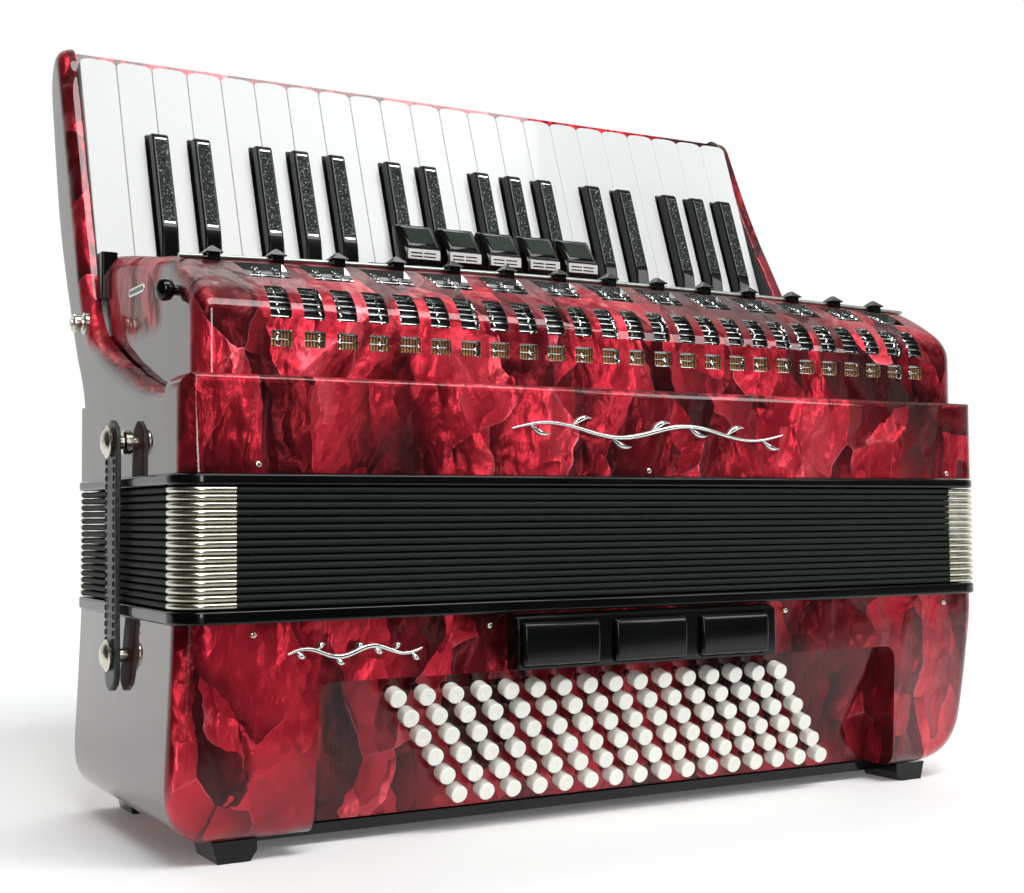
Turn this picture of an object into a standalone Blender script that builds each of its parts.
# Piano accordion, 37 treble keys and 96 bass buttons, standing on its bass feet.
# +X runs along the keyboard from the high notes to the low notes, the grille
# and the bass buttons face -Y, +Z is up and z = 0 is the underside of the feet.
# All driving dimensions are millimetres and are turned into metres by MM.
# "Left" is the -X end and "right" the +X end; "front" is -Y.
import bpy
import bmesh
import math
from mathutils import Vector, Matrix

for old_object in list(bpy.data.objects):
    bpy.data.objects.remove(old_object, do_unlink=True)

MM = 0.001
WELD_DIST = 1e-6             # metres

# ---- overall body -------------------------------------------------------
LEN = 444.0                  # length of both casings
DEPTH = 163.0                # back face of both casings
Y_MIN, Y_MAX = -10.2, 241.0  # foremost register bar, back of the keyboard
CX = LEN / 2.0               # model origin along the keyboard
CY = (Y_MIN + Y_MAX) / 2.0   # model origin, front to back
WALL = 7.0
GAP = 0.3                    # play between neighbouring parts

# ---- stack heights, from the feet up ------------------------------------
FOOT_H = 4.5                 # underside of the base plate
PLATE_TOP = 9.1
BASS_Z0, BASS_Z1 = PLATE_TOP + GAP, 97.9
BASS_FRAME_Z = (BASS_Z1 + GAP, 103.9)
BELLOWS_Z0, BELLOWS_Z1 = BASS_FRAME_Z[1] + GAP, 154.6
TREBLE_FRAME_Z = (BELLOWS_Z1 + GAP, 159.6)
TREBLE_Z0 = TREBLE_FRAME_Z[1] + GAP

# ---- tilted planes ------------------------------------------------------
KEY_TILT = math.radians(19.4)     # keyboard leans back from the vertical
KEY_ORIGIN = (171.9, 279.0)       # (y, z) of s = 0 on the white key surface
BOARD_TILT = math.radians(14.7)   # foot of the button board is set back
BOARD_ORIGIN = (10.0, 70.0)       # (y, z) near the top of the board's front face

ORIGIN_SHIFT = Vector((-CX, -CY, 0.0))
KEY_SIN, KEY_COS = math.sin(KEY_TILT), math.cos(KEY_TILT)
BOARD_SIN, BOARD_COS = math.sin(BOARD_TILT), math.cos(BOARD_TILT)

# Frames: origin, U, V, W with W = U x V
ALONG_X = (Vector((0, 0, 0)), Vector((0, 1, 0)), Vector((0, 0, 1)), Vector((1, 0, 0)))
FORWARD = (Vector((0, 0, 0)), Vector((1, 0, 0)), Vector((0, 0, 1)), Vector((0, -1, 0)))
UPWARD = (Vector((0, 0, 0)), Vector((1, 0, 0)), Vector((0, 1, 0)), Vector((0, 0, 1)))
# keys: s runs up the key surface, n stands out of it
# key plan: U = x, V = s, W = n; key side: U = s, V = n, W = x
KEY_PLAN = (Vector((0, *KEY_ORIGIN)), Vector((1, 0, 0)), Vector((0, KEY_SIN, KEY_COS)),
            Vector((0, -KEY_COS, KEY_SIN)))
KEY_SIDE = (KEY_PLAN[0], KEY_PLAN[2], KEY_PLAN[3], KEY_PLAN[1])
# button board: U along the board, V up the board, W out of its face
BOARD = (Vector((0, *BOARD_ORIGIN)), Vector((1, 0, 0)), Vector((0, -BOARD_SIN, BOARD_COS)),
         Vector((0, -BOARD_COS, -BOARD_SIN)))


# ---- materials ----------------------------------------------------------
def make_material(name, color, roughness, metallic=0.0, coat=0.0):
    material = bpy.data.materials.new(name)
    material.use_nodes = True
    shader = material.node_tree.nodes["Principled BSDF"]
    shader.inputs["Base Color"].default_value = (*color, 1.0)
    shader.inputs["Roughness"].default_value = roughness
    shader.inputs["Metallic"].default_value = metallic
    shader.inputs["Coat Weight"].default_value = coat
    material.diffuse_color = (*color, 1.0)
    return material


RED = make_material("red_pearl", color=(0.42, 0.02, 0.05), roughness=0.25, coat=1.0)
BLACK = make_material("gloss_black", color=(0.012, 0.012, 0.014), roughness=0.2, coat=0.6)
KEY_WHITE = make_material("key_white", color=(0.86, 0.88, 0.86), roughness=0.25)
KEY_BLACK = make_material("key_black", color=(0.015, 0.015, 0.017), roughness=0.35)
IVORY = make_material("button_ivory", color=(0.85, 0.84, 0.78), roughness=0.3)
CLOTH = make_material("bellows_cloth", color=(0.02, 0.028, 0.024), roughness=0.7)
WOOD = make_material("reed_wood", color=(0.55, 0.38, 0.2), roughness=0.6)
STEEL = make_material("axle_steel", color=(0.6, 0.6, 0.6), roughness=0.3, metallic=1.0)
LEATHER = make_material("strap_leather", color=(0.02, 0.02, 0.02), roughness=0.6)


# ---- shape helpers ------------------------------------------------------
def link(name, data, material=None):
    ob = bpy.data.objects.new(name, data)
    bpy.context.scene.collection.objects.link(ob)
    if material is not None:
        data.materials.append(material)
    return ob


def link_bmesh(name, bm, material=None):
    mesh = bpy.data.meshes.new(name)
    bm.to_mesh(mesh)
    bm.free()
    return link(name, mesh, material)


def evaluated_mesh(ob):
    bpy.context.view_layer.update()
    depsgraph = bpy.context.evaluated_depsgraph_get()
    return bpy.data.meshes.new_from_object(ob.evaluated_get(depsgraph))


def apply_modifiers(ob):
    mesh = evaluated_mesh(ob)
    ob.modifiers.clear()
    old_mesh = ob.data
    ob.data = mesh
    bpy.data.meshes.remove(old_mesh)
    mesh.name = ob.name
    return ob


def weld(mesh):
    bm = bmesh.new()
    bm.from_mesh(mesh)
    bmesh.ops.remove_doubles(bm, verts=bm.verts, dist=WELD_DIST)
    bmesh.ops.recalc_face_normals(bm, faces=bm.faces)
    bm.to_mesh(mesh)
    bm.free()


def closed_curve(name, points):
    """Flat closed polyline through points given in millimetres."""
    curve = bpy.data.curves.new(name, "CURVE")
    curve.dimensions = "2D"
    curve.resolution_u = 1
    spline = curve.splines.new("POLY")
    spline.points.add(len(points) - 1)
    for point, (u, v) in zip(spline.points, points):
        point.co = (u * MM, v * MM, 0.0, 1.0)
    spline.use_cyclic_u = True
    return curve


def curve_to_mesh(curve):
    """Mesh of the curve; the curve itself is removed."""
    ob = link(curve.name + "_curve", curve)
    mesh = evaluated_mesh(ob)
    bpy.data.objects.remove(ob, do_unlink=True)
    bpy.data.curves.remove(curve)
    return mesh


def prism(name, frame, outline, low, high, material=None, chamfer=0.0):
    """Outline (u, v) filled and extruded from low to high along W."""
    curve = closed_curve(name, outline)
    curve.fill_mode = "BOTH"
    curve.extrude = ((high - low) / 2.0 - chamfer) * MM
    curve.bevel_depth = chamfer * MM
    curve.bevel_resolution = 0
    curve.offset = -chamfer * MM
    mesh = curve_to_mesh(curve)
    origin, u, v, w = frame
    shift = (ORIGIN_SHIFT + origin + w * ((low + high) / 2.0)) * MM
    mesh.transform(Matrix(((u.x, v.x, w.x, shift.x), (u.y, v.y, w.y, shift.y),
                           (u.z, v.z, w.z, shift.z), (0, 0, 0, 1))))
    weld(mesh)
    mesh.name = name
    return link(name, mesh, material)


def box(name, x_span, y_span, z_span, material=None):
    (x0, x1), (y0, y1), (z0, z1) = x_span, y_span, z_span
    bm = bmesh.new()
    bmesh.ops.create_cube(bm, size=1.0)
    for vert in bm.verts:
        vert.co = Vector(((x0 + x1) / 2 + vert.co.x * (x1 - x0) - CX,
                          (y0 + y1) / 2 + vert.co.y * (y1 - y0) - CY,
                          (z0 + z1) / 2 + vert.co.z * (z1 - z0))) * MM
    return link_bmesh(name, bm, material)


def in_frame(frame, u, v, w):
    origin, u_axis, v_axis, w_axis = frame
    return origin + u_axis * u + v_axis * v + w_axis * w


def rod(name, start, end, radius, segments, material=None):
    """Straight round bar between two points given in millimetres."""
    axis = end - start
    bm = bmesh.new()
    bmesh.ops.create_cone(bm, cap_ends=True, segments=segments, radius1=radius * MM,
                          radius2=radius * MM, depth=axis.length * MM)
    turn = Vector((0, 0, 1)).rotation_difference(axis.normalized())
    matrix = (Matrix.Translation((ORIGIN_SHIFT + (start + end) / 2) * MM)
              @ turn.to_matrix().to_4x4())
    bmesh.ops.transform(bm, matrix=matrix, verts=bm.verts)
    return link_bmesh(name, bm, material)


def join(name, obs):
    bm = bmesh.new()
    for ob in obs:
        bm.from_mesh(ob.data)
        bpy.data.objects.remove(ob, do_unlink=True)
    return link_bmesh(name, bm)


def boolean(target, operation, *tools):
    for tool in tools:
        modifier = target.modifiers.new("op", "BOOLEAN")
        modifier.operation = operation
        modifier.solver = "EXACT"
        modifier.object = tool
        apply_modifiers(target)
        bpy.data.objects.remove(tool, do_unlink=True)
    weld(target.data)
    return target


def bevel(ob, width, segments=2, angle=40.0):
    modifier = ob.modifiers.new("round", "BEVEL")
    modifier.width = width * MM
    modifier.segments = segments
    modifier.limit_method = "ANGLE"
    modifier.angle_limit = math.radians(angle)
    return apply_modifiers(ob)


def round_rect(x0, x1, y0, y1, radius, steps):
    """Counter-clockwise outline of a rectangle with rounded corners."""
    corners = ((x1 - radius, y1 - radius, 0.0), (x0 + radius, y1 - radius, 90.0),
               (x0 + radius, y0 + radius, 180.0), (x1 - radius, y0 + radius, 270.0))
    points = []
    for x, y, start in corners:
        for k in range(steps + 1):
            angle = math.radians(start + 90.0 * k / steps)
            points.append((x + radius * math.cos(angle), y + radius * math.sin(angle)))
    return points


# ---- hanging helpers ----------------------------------------------------
def under(parent, *obs):
    """Parent the objects without moving them."""
    for ob in obs:
        ob.parent = parent
        ob.matrix_parent_inverse = parent.matrix_world.inverted()


def empty(name, position, parent=None):
    ob = link(name, None)
    ob.empty_display_size = 0.02
    ob.location = (ORIGIN_SHIFT + Vector(position)) * MM
    if parent is not None:
        under(parent, ob)
    bpy.context.view_layer.update()
    return ob


def hang_moving(name, position, parent, part):
    """Hang a moving part on an empty of its own."""
    under(empty(name, position, parent), part)


# =========================== REED BLOCKS AND FRAMES =======================
RIM = (-3.5, LEN + 1.0, -3.0, DEPTH + 2.0)   # x and y limits of the bellows frames
RIM_RADIUS, RIM_STEPS, RIM_CHAMFER = 14.0, 5, 1.2
REED_PITCH = 33
CELL_DEPTH = 6               # cells cut into the front face of a reed block
CUT_OVER = 8                 # how far the cell cutters start in front of it
# (x of the first slot, slot width, slot count)
BASS_SLOTS = (60, 20, 10)
TREBLE_SLOTS = (52, 18, 11)


def slot_row(slots, y_span, z_span):
    first_x, width, count = slots
    cutters = []
    for k in range(count):
        x = first_x + REED_PITCH * k
        cutters.append(box("slot", (x, x + width), y_span, z_span))
    return join("slots", cutters)


def bellows_frame(name, z_span, slots, slot_y, slot_z):
    frame = prism(name, UPWARD, round_rect(*RIM, RIM_RADIUS, RIM_STEPS), *z_span,
                  BLACK, RIM_CHAMFER)
    return boolean(frame, "DIFFERENCE", slot_row(slots, slot_y, slot_z))


def reed_block(name, x_span, y_span, z_span, slots, cell_z):
    block = box(name, x_span, y_span, z_span, WOOD)
    cell_y = (y_span[0] - CUT_OVER, y_span[0] + CELL_DEPTH)
    return boolean(block, "DIFFERENCE", slot_row(slots, cell_y, cell_z))


# =========================== BASS SIDE ====================================
BASS_FRONT = 3.0             # y of the casing front
# casing ends, (distance in from the end, z), top to bottom
BASS_LEFT = [(-1.5, BASS_Z1), (-2.2, 80.0), (-3.1, 60.0), (-4.2, 38.0), (-4.3, 30.0),
             (-3.4, 23.0), (-0.6, 16.8), (4.0, 12.4), (9.5, 10.0), (15.0, BASS_Z0)]
BASS_RIGHT = [(0.0, BASS_Z1), (0.4, 86.0), (3.5, 66.0), (6.5, 49.0), (10.5, 31.0),
              (15.0, 22.0), (22.0, 15.0), (32.0, 10.8), (43.0, BASS_Z0)]
BASS_INNER_X = (WALL + 3, LEN - WALL - 3)
CASING_CUT_TOP = 110         # above the casing, leaves the top open
POCKET_X = (60.0, 384.0)     # front recess that holds the button board
POCKET = [(-20, 72.0), (30, 72.0), (47, 6), (-20, 6)]   # (y, z)
AIR_Y, AIR_Z = 128, 78

BOARD_THICK, BOARD_RISE, BOARD_DROP = 2.6, 1.6, 60.2   # rise, drop: z from its origin
COLS, ROWS = 16, 6
BUTTON_X0, BUTTON_PITCH, ROW_SHIFT = 95.0, 13.96, 7.1
ROW_DROP0, ROW_PITCH = 3.8, 9.45   # first row below the board origin, row spacing
BAR_OVERHANG, BAR_HALF_WIDTH = 4, 2.2
# spans along the board normal
HOLE_SPAN, BAR_SPAN, PIN_SPAN, CAP_SPAN = (-8, 4), (-9.0, -5.0), (-6, 8.0), (6.0, 12.5)
HOLE_RADIUS, PIN_RADIUS, CAP_RADIUS = 1.9, 1.3, 4.5

FOOT_LEFT, FOOT_RIGHT, FOOT_W = 18.0, 37.0, 14.0   # inset from each end, width
FOOT_FLARE_IN, FOOT_FLARE_OUT = 3.0, 2.5
FOOT_Y = ((9, 36), (134, 156))

# (y, z)
HOUSING = [(-6.0, 96.4), (-7.0, 94.8), (-7.0, 73.6), (-5.6, 72.4), (2.7, 72.4), (2.7, 97.4),
           (-4.0, 97.4)]
HOUSING_X = (150.6, 297.0)
BASS_REG_X0, BASS_REG_PITCH, BASS_REG_W, N_BASS_REG = 152.6, 48.8, 40.4, 3
BASS_REG_Y, BASS_REG_Z = (Y_MIN, -3.5), (74.4, 94.0)
BASS_REG_SLIDE_Y = -8
WELL_Y, WELL_PLAY = (-20, -0.1), 0.5

# inner line of the hand strap, (x, y), left end to the middle
STRAP_ARCH = [(30, 163.3), (58, 166), (105, 182), (165, 193), (221, 196.5)]
HAND_STRAP_T, HAND_STRAP_Z = 3.2, (30, 88)


def make_bass_casing():
    outline = BASS_LEFT + [(LEN - x, z) for x, z in reversed(BASS_RIGHT)]
    casing = prism("bass_casing", FORWARD, outline, -DEPTH, -BASS_FRONT, RED)
    bevel(casing, width=7.0, angle=50)
    pocket = prism("pocket", ALONG_X, POCKET, *POCKET_X)
    hollow = box("hollow", BASS_INNER_X, (52, DEPTH - WALL), (22, CASING_CUT_TOP))
    above_pocket = box("above", BASS_INNER_X, (10, 53), (79, CASING_CUT_TOP))
    air_hole = rod("air_hole", Vector((LEN - 20, AIR_Y, AIR_Z)),
                   Vector((LEN + 10, AIR_Y, AIR_Z)), radius=6.0, segments=12)
    return boolean(casing, "DIFFERENCE", pocket, hollow, above_pocket, air_hole)


def row_start(row):
    """Place on the board (u, v) of the leftmost button of a row."""
    return BUTTON_X0 + row * ROW_SHIFT, -(ROW_DROP0 + row * ROW_PITCH)


def button_rods(row, span, radius, segments):
    """One rod per button of a row, standing along the board normal."""
    start_u, v = row_start(row)
    rods = []
    for col in range(COLS):
        u = start_u + col * BUTTON_PITCH
        rods.append(rod("button_rod", in_frame(BOARD, u, v, span[0]),
                        in_frame(BOARD, u, v, span[1]), radius, segments))
    return rods


def make_button_board():
    front, origin_z = BOARD_ORIGIN
    top, bottom = origin_z + BOARD_RISE, origin_z - BOARD_DROP
    setback = BOARD_DROP * BOARD_SIN / BOARD_COS
    outline = [(front, top), (front + BOARD_THICK, top),
               (front + BOARD_THICK + setback, bottom), (front + setback, bottom)]
    board = prism("bass_button_board", ALONG_X, outline, POCKET_X[0] + GAP,
                  POCKET_X[1] - GAP, RED)
    holes = []
    for row in range(ROWS):
        holes += button_rods(row, HOLE_SPAN, HOLE_RADIUS, segments=4)
    return boolean(board, "DIFFERENCE", join("holes", holes))


def make_button_row(row):
    """A bar behind the board with the pins and caps of one row of buttons."""
    start_u, v = row_start(row)
    left = start_u - BAR_OVERHANG
    right = start_u + (COLS - 1) * BUTTON_PITCH + BAR_OVERHANG
    low, high = v - BAR_HALF_WIDTH, v + BAR_HALF_WIDTH
    bar = prism("bass_row_%d" % (row + 1), BOARD,
                [(left, low), (right, low), (right, high), (left, high)], *BAR_SPAN, IVORY)
    pins = join("pins", button_rods(row, PIN_SPAN, PIN_RADIUS, segments=4))
    caps = join("caps", button_rods(row, CAP_SPAN, CAP_RADIUS, segments=8))
    return boolean(bar, "UNION", pins, caps)


def make_base_plate():
    """Plate and four feet in one; the feet flare up to the casing ends."""
    plate = box("bass_base_plate", (31, LEN - 31), (25, 150), (FOOT_H, PLATE_TOP), BLACK)
    outer, inner = FOOT_LEFT, FOOT_LEFT + FOOT_W
    left = [(outer, 0), (inner, 0), (inner + FOOT_FLARE_IN, FOOT_H),
            (inner + FOOT_FLARE_IN, PLATE_TOP), (outer - FOOT_FLARE_OUT, PLATE_TOP)]
    outer, inner = LEN - FOOT_RIGHT, LEN - FOOT_RIGHT - FOOT_W
    right = [(inner, 0), (outer, 0), (outer + FOOT_FLARE_OUT, PLATE_TOP),
             (inner - FOOT_FLARE_IN, PLATE_TOP), (inner - FOOT_FLARE_IN, FOOT_H)]
    feet = [prism("foot", FORWARD, outline, -y1, -y0)
            for y0, y1 in FOOT_Y for outline in (left, right)]
    return boolean(plate, "UNION", *feet)


def bass_register_x(k):
    return BASS_REG_X0 + k * BASS_REG_PITCH


def make_register_housing():
    housing = prism("bass_register_housing", ALONG_X, HOUSING, *HOUSING_X, BLACK)
    wells = []
    for k in range(N_BASS_REG):
        x = bass_register_x(k)
        wells.append(box("well", (x - WELL_PLAY, x + BASS_REG_W + WELL_PLAY), WELL_Y,
                         (BASS_REG_Z[0] - WELL_PLAY, BASS_REG_Z[1] + WELL_PLAY)))
    return boolean(housing, "DIFFERENCE", join("wells", wells))


def make_bass_register(k):
    x = bass_register_x(k)
    bar = box("bass_register_%d" % (k + 1), (x, x + BASS_REG_W), BASS_REG_Y, BASS_REG_Z, BLACK)
    return bevel(bar, width=2.2)


def make_hand_strap():
    arch = STRAP_ARCH + [(LEN - x, y) for x, y in reversed(STRAP_ARCH[:-1])]
    outer = [(x, y + HAND_STRAP_T) for x, y in reversed(arch)]
    return prism("bass_hand_strap", UPWARD, arch + outer, *HAND_STRAP_Z, LEATHER)


def make_air_button():
    button = rod("air_button", Vector((LEN - 10, AIR_Y, AIR_Z)),
                 Vector((LEN + 5, AIR_Y, AIR_Z)), radius=5.4, segments=16, material=BLACK)
    return bevel(button, width=1.2, segments=1)


# =========================== BELLOWS ======================================
FOLDS = 16
FOLD_DEPTH = 8.5
FOLD_SKIN = 4.2              # offset of the inner line from the outer one
RIDGE = (-2.5, LEN + 0.5, -2.0, DEPTH + 1.0)   # x and y limits of the fold ridges
RIDGE_RADIUS, RIDGE_STEPS = 13.0, 3


def fold_profile():
    """Closed section of the pleats: (distance in from the ridges, height)."""
    height = BELLOWS_Z1 - BELLOWS_Z0
    step = height / FOLDS
    end_depth = FOLD_DEPTH * 0.4
    points = [(end_depth, 0.0)]
    for k in range(FOLDS):
        z = k * step
        points.append((0.0, z + step * 0.15))
        points.append((0.0, z + step * 0.55))
        if k < FOLDS - 1:
            points.append((FOLD_DEPTH, z + step * 0.85))
    points.append((end_depth, height))
    # back down the inside
    for k in range(FOLDS, -1, -1):
        points.append((FOLD_DEPTH + FOLD_SKIN, max((k - 0.15) * step, 0.0)))
        if k > 0:
            points.append((FOLD_SKIN, (k - 0.65) * step))
    return points


def make_bellows():
    profile_curve = closed_curve("fold_profile", fold_profile())
    profile = link("fold_profile", profile_curve)
    ring = round_rect(*RIDGE, RIDGE_RADIUS, RIDGE_STEPS)
    path = closed_curve("fold_path", [(x - CX, y - CY) for x, y in ring])
    path.bevel_mode = "OBJECT"
    path.bevel_object = profile
    mesh = curve_to_mesh(path)
    mesh.transform(Matrix.Translation((0, 0, BELLOWS_Z0 * MM)))
    weld(mesh)
    bpy.data.objects.remove(profile, do_unlink=True)
    bpy.data.curves.remove(profile_curve)
    return link("bellows_pleats", mesh, CLOTH)


# =========================== TREBLE CASING ================================
LIP_Z = 201.0
# (y, z)
TREBLE_SIDE = [
    (0, TREBLE_Z0), (0, 198.0), (3.0, LIP_Z), (20.0, LIP_Z), (24.0, 196.8), (33, 196.6),
    (48, 198.3), (62, 201), (80, 205.6), (96, 211), (115, 217.6), (133, 225.4),
    (151.6, 234.0), (180.0, 221.2), (172, 210.5), (165.5, 203.0), (DEPTH, 196.0),
    (DEPTH, TREBLE_Z0)]
# cut-out, open below and above, (y, z)
TREBLE_INSIDE = [
    (WALL, 150), (WALL, 193), (24.7, 193), (24.7, 250), (160, 250), (173.5, 222),
    (166, 212), (159.5, 206), (156, 198), (156, 150)]
TREBLE_INNER_X = (WALL, LEN - WALL - 1.0)

STRAP_OUT, STRAP_T = 7.6, 3.0     # outer face beyond the casing end, thickness
STRAP_Y, STRAP_HALF_W, STRAP_Z = 81.5, 9.0, (65.5, 185.3)
STRAP_HINGE_Z = 175.6
STRAPS = (("bellows_strap_left", -STRAP_OUT),
          ("bellows_strap_right", LEN + STRAP_OUT - STRAP_T))   # name, low x


def make_treble_casing():
    casing = prism("treble_casing", ALONG_X, TREBLE_SIDE, 0, LEN, RED)
    bevel(casing, width=4.0, angle=50)
    inside = prism("inside", ALONG_X, TREBLE_INSIDE, *TREBLE_INNER_X)
    return boolean(casing, "DIFFERENCE", inside)


def make_bellows_strap(name, x):
    """Flat strap hanging down beside one end of the casings."""
    strap = box(name, (x, x + STRAP_T), (STRAP_Y - STRAP_HALF_W, STRAP_Y + STRAP_HALF_W),
                STRAP_Z, LEATHER)
    return bevel(strap, width=1.0, segments=1)


# =========================== KEYBOARD =====================================
PITCH = 19.4                 # white key pitch
KEY_X0 = 8.9                 # left edge of the first white key
N_WHITE = 22
KEY_TIP, KEY_TAIL = 114.6, -50.0   # s of the two key ends
KEY_THICK = 11.0
KEY_GAP = 0.45
KEY_CHAMFER = 0.5
TIP_RADIUS = 2.6
BLACK_S0, BLACK_S1 = -16.0, 69.0
BLACK_H, BLACK_W = 8.0, 9.8
NOTCH = 6.0                  # white key edge to black key centre line
NOTCH_END = BLACK_S1 + 1.2
AXLE_S, AXLE_N, AXLE_R = -53.4, -7.0, 2.4
# Groups of two and three black keys, seven white keys an octave:
# (number of the white key left of the first one, side offset of each)
BLACK_GROUPS = [(first + 7 * octave, offsets) for octave in range(3)
                for first, offsets in ((2, (-1.8, 1.8)), (5, (-2.2, 0.0, 2.2)))]
# centre x of each black key, by the number of the white key to its left
BLACK_X = {first + i: KEY_X0 + (first + i) * PITCH + offset
           for first, offsets in BLACK_GROUPS for i, offset in enumerate(offsets)}

# cheek outline, (y, z)
CHEEK = [
    (151.6, 234.4), (159.5, 245.3), (167.0, 262), (174.5, 281.9), (190.3, 322.1),
    (206.5, 364.3), (213.5, 381.2), (216.5, 389.0), (220.5, 393.2), (225.0, 394.6),
    (231.0, 393.2), (236.5, 388.4), (241.0, 379.0), (235.4, 354), (220.3, 300),
    (203.5, 262.5), (181.0, 222.9), (180.2, 221.6)]
# space for the keys between the cheeks, (s, n)
KEY_SPACE = [(-90, -21.5), (-34, -21.5), (-28, -15.5), (140, -15.5), (140, 60), (-90, 60)]
KEY_SPACE_X = (KEY_X0 - 0.3, KEY_X0 + N_WHITE * PITCH + 0.6)
# side of a black key, (s, n)
BLACK_SIDE = [
    (KEY_TAIL, -19.5), (KEY_TAIL + 8, -19.5), (BLACK_S0, -10.5), (BLACK_S1, -10.5),
    (BLACK_S1, 2.0), (BLACK_S1 - 3.0, BLACK_H), (12.0, BLACK_H), (-6.0, 3.5),
    (KEY_TAIL, -2.0)]
# bar that ties a group together, (s, n)
TIE_SIDE = [(KEY_TAIL + 0.6, -18.8), (KEY_TAIL + 7.0, -18.8), (KEY_TAIL + 7.0, -12.6),
            (KEY_TAIL + 0.6, -12.6)]


def make_keyboard_frame():
    """Two cheeks joined by the board behind the keys."""
    frame = prism("keyboard_frame", ALONG_X, CHEEK, 0, LEN, RED)
    bevel(frame, width=1.8, angle=50)
    key_space = prism("key_space", KEY_SIDE, KEY_SPACE, *KEY_SPACE_X)
    return boolean(frame, "DIFFERENCE", key_space)


def make_key_axle():
    left, right = TREBLE_INNER_X
    return rod("key_axle", in_frame(KEY_PLAN, left + GAP, AXLE_S, AXLE_N),
               in_frame(KEY_PLAN, right - GAP, AXLE_S, AXLE_N), AXLE_R, 12, STEEL)


def make_white_key(k):
    left = KEY_X0 + k * PITCH + KEY_GAP / 2
    right = KEY_X0 + (k + 1) * PITCH - KEY_GAP / 2
    black_left, black_right = BLACK_X.get(k), BLACK_X.get(k + 1)
    tail_left = left if black_left is None else black_left + NOTCH
    tail_right = right if black_right is None else black_right - NOTCH
    # counter-clockwise from the left corner of the tail
    outline = [(tail_left, KEY_TAIL), (tail_right, KEY_TAIL)]
    if black_right is not None:
        outline += [(tail_right, NOTCH_END), (right, NOTCH_END)]
    cut = TIP_RADIUS * 0.3
    outline += [(right, KEY_TIP - TIP_RADIUS), (right - cut, KEY_TIP - cut),
                (right - TIP_RADIUS, KEY_TIP), (left + TIP_RADIUS, KEY_TIP),
                (left + cut, KEY_TIP - cut), (left, KEY_TIP - TIP_RADIUS)]
    if black_left is not None:
        outline += [(left, NOTCH_END), (tail_left, NOTCH_END)]
    return prism("white_key_%02d" % (k + 1), KEY_PLAN, outline, -KEY_THICK, 0.0,
                 KEY_WHITE, KEY_CHAMFER)


def make_black_keys(name, centers):
    """One group of black keys, tied at the tails into one piece."""
    keys = [prism(name, KEY_SIDE, BLACK_SIDE, x - BLACK_W / 2, x + BLACK_W / 2,
                  KEY_BLACK, KEY_CHAMFER) for x in centers]
    body = keys[0]
    for key in keys[1:]:
        boolean(body, "UNION", key)
    tie = prism("tie", KEY_SIDE, TIE_SIDE, centers[0], centers[-1])
    return boolean(body, "UNION", tie)


# =========================== GRILLE AND REGISTERS =========================
GRILLE_X = (10.0, 433.5)
GRILLE_WALL = 2.8
# outer line front to back, then the lower line back to front, (y, z)
GRILLE_OUTLINE = [
    (14.0, 201.3), (14.0, 228.0), (16.0, 233.5), (20.0, 238.3), (26.0, 242.8),
    (36.0, 248.8), (50.0, 255.4), (90.0, 262.0), (137.0, 269.6), (156.0, 271.5),
    (157.5, 262.0),
    (143.0, 226.0), (133.0, 221.0), (96.0, 207.0), (62.0, 197.5), (25.0, 195.5),
    (25.0, 201.3)]
# hollow, open at the back and below, (y, z)
GRILLE_INSIDE = [
    (14.0 + GRILLE_WALL, 190.0), (14.0 + GRILLE_WALL, 227.4), (18.6, 232.0),
    (22.2, 236.2), (27.6, 240.2), (37.2, 246.1), (51.0, 252.6), (90.4, 259.2),
    (137.4, 266.8), (152.9, 268.3), (170.0, 262.0), (170.0, 190.0)]
TOP_WINDOW_X0, TOP_WINDOW_PITCH, N_TOP_WINDOW = 36.5, 30.4, 13
TOP_WINDOW = [(4.0, 31.0), (22.0, 31.0), (23.5, 46.0), (0, 46.0)]   # (x from window, y)
TOP_WINDOW_Z = (236, 262)
FRONT_WINDOW_X0, FRONT_WINDOW_PITCH, N_FRONT_WINDOW = 42.8, 15.25, 25
# upper and lower front rows: (width, y span, z span)
FRONT_WINDOWS = ((9.6, (0, 24.0), (226.6, 240.0)), (9.8, (0, 25.0), (214.4, 221.6)))

TAB_X0, TAB_W, TAB_PITCH, N_TAB = 166.5, 22.6, 25.5, 5
TAB_AXIS = (149.0, 279.5)    # (y, z)
# (y, z)
TAB_SIDE = [(140.5, 278.0), (139.5, 283.0), (141.2, 286.4), (152.6, 301.4), (154.8, 302.0),
            (157.6, 300.0), (151.5, 278.0)]
REG_BASE_SIDE = [(132.0, 269.1), (132.0, 271.8), (137.5, 277.2), (151.8, 277.2),
                 (153.8, 274.8), (153.8, 271.8), (137.0, 269.9)]
REG_BASE_X = (146, 302)


def make_grille():
    """Shell with one row of windows on top and two in front."""
    cover = prism("grille_cover", ALONG_X, GRILLE_OUTLINE, *GRILLE_X, RED)
    bevel(cover, width=3.0, angle=60)
    hollow = prism("hollow", ALONG_X, GRILLE_INSIDE, GRILLE_X[0] + GRILLE_WALL,
                   GRILLE_X[1] - GRILLE_WALL)
    boolean(cover, "DIFFERENCE", hollow)
    windows = []
    for k in range(N_TOP_WINDOW):
        x = TOP_WINDOW_X0 + k * TOP_WINDOW_PITCH
        outline = [(x + dx, y) for dx, y in TOP_WINDOW]
        windows.append(prism("window", UPWARD, outline, *TOP_WINDOW_Z))
    for k in range(N_FRONT_WINDOW):
        x = FRONT_WINDOW_X0 + k * FRONT_WINDOW_PITCH
        for width, y_span, z_span in FRONT_WINDOWS:
            windows.append(box("window", (x, x + width), y_span, z_span))
    return boolean(cover, "DIFFERENCE", join("windows", windows))


def make_register_base():
    """Rail near the back of the grille top, below the register tabs."""
    return prism("register_base", ALONG_X, REG_BASE_SIDE, *REG_BASE_X, BLACK)


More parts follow.
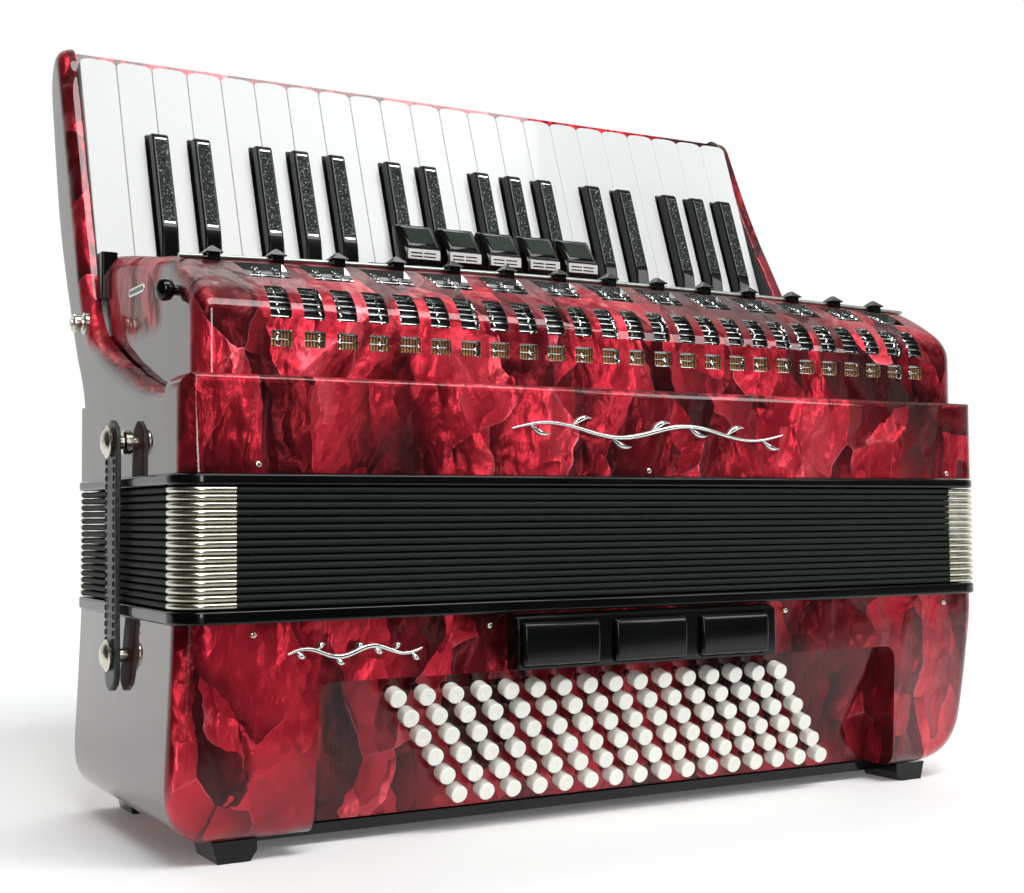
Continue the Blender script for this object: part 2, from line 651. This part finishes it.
def make_treble_register(k):
    x = TAB_X0 + k * TAB_PITCH
    tab = prism("treble_register_%d" % (k + 1), ALONG_X, TAB_SIDE, x, x + TAB_W, BLACK)
    return bevel(tab, width=0.8, segments=1, angle=35)


# =========================== ASSEMBLY =====================================
def assemble_bass(bass):
    under(bass, make_bass_casing(), make_button_board(), make_base_plate(),
          bellows_frame("bass_bellows_frame", BASS_FRAME_Z, BASS_SLOTS,
                        slot_y=(32, 62), slot_z=(90, 110)),
          make_register_housing(),
          reed_block("bass_reed_block", (50, 400), (28, 66), (BELLOWS_Z0, 149),
                     BASS_SLOTS, cell_z=(110, 143)),
          make_hand_strap(), make_bellows())
    for row in range(ROWS):
        start_u, v = row_start(row)
        middle = in_frame(BOARD, start_u + (COLS - 1) / 2 * BUTTON_PITCH, v, 0)
        hang_moving("bass_row_%d_slide" % (row + 1), middle, bass, make_button_row(row))
    for k in range(N_BASS_REG):
        middle = (bass_register_x(k) + BASS_REG_W / 2, BASS_REG_SLIDE_Y, sum(BASS_REG_Z) / 2)
        hang_moving("bass_register_%d_slide" % (k + 1), middle, bass, make_bass_register(k))
    hang_moving("air_button_slide", (LEN, AIR_Y, AIR_Z), bass, make_air_button())


def assemble_treble(treble):
    under(treble,
          bellows_frame("treble_bellows_frame", TREBLE_FRAME_Z, TREBLE_SLOTS,
                        slot_y=(100, 134), slot_z=(150, 165)),
          make_treble_casing(), make_keyboard_frame(), make_key_axle(), make_grille(),
          make_register_base(),
          reed_block("treble_reed_block", (40, 402), (98, 136), (108, BELLOWS_Z1),
                     TREBLE_SLOTS, cell_z=(114, 148)))
    axle = in_frame(KEY_PLAN, 0, AXLE_S, AXLE_N)
    for k in range(N_WHITE):
        hang_moving("white_key_%02d_hinge" % (k + 1),
                    (KEY_X0 + (k + 0.5) * PITCH, axle.y, axle.z), treble, make_white_key(k))
    for group, (first, offsets) in enumerate(BLACK_GROUPS):
        name = "black_keys_%d" % (group + 1)
        centers = [BLACK_X[first + i] for i in range(len(offsets))]
        hang_moving(name + "_hinge", (sum(centers) / len(centers), axle.y, axle.z), treble,
                    make_black_keys(name, centers))
    for k in range(N_TAB):
        hang_moving("treble_register_%d_hinge" % (k + 1),
                    (TAB_X0 + k * TAB_PITCH + TAB_W / 2, *TAB_AXIS), treble,
                    make_treble_register(k))
    for name, x in STRAPS:
        hang_moving(name + "_hinge", (x + STRAP_T / 2, STRAP_Y, STRAP_HINGE_Z), treble,
                    make_bellows_strap(name, x))


bass_empty = empty("bass", (CX, 80, 50))
treble_empty = empty("treble", (CX, 80, 157), bass_empty)
assemble_bass(bass_empty)
assemble_treble(treble_empty)
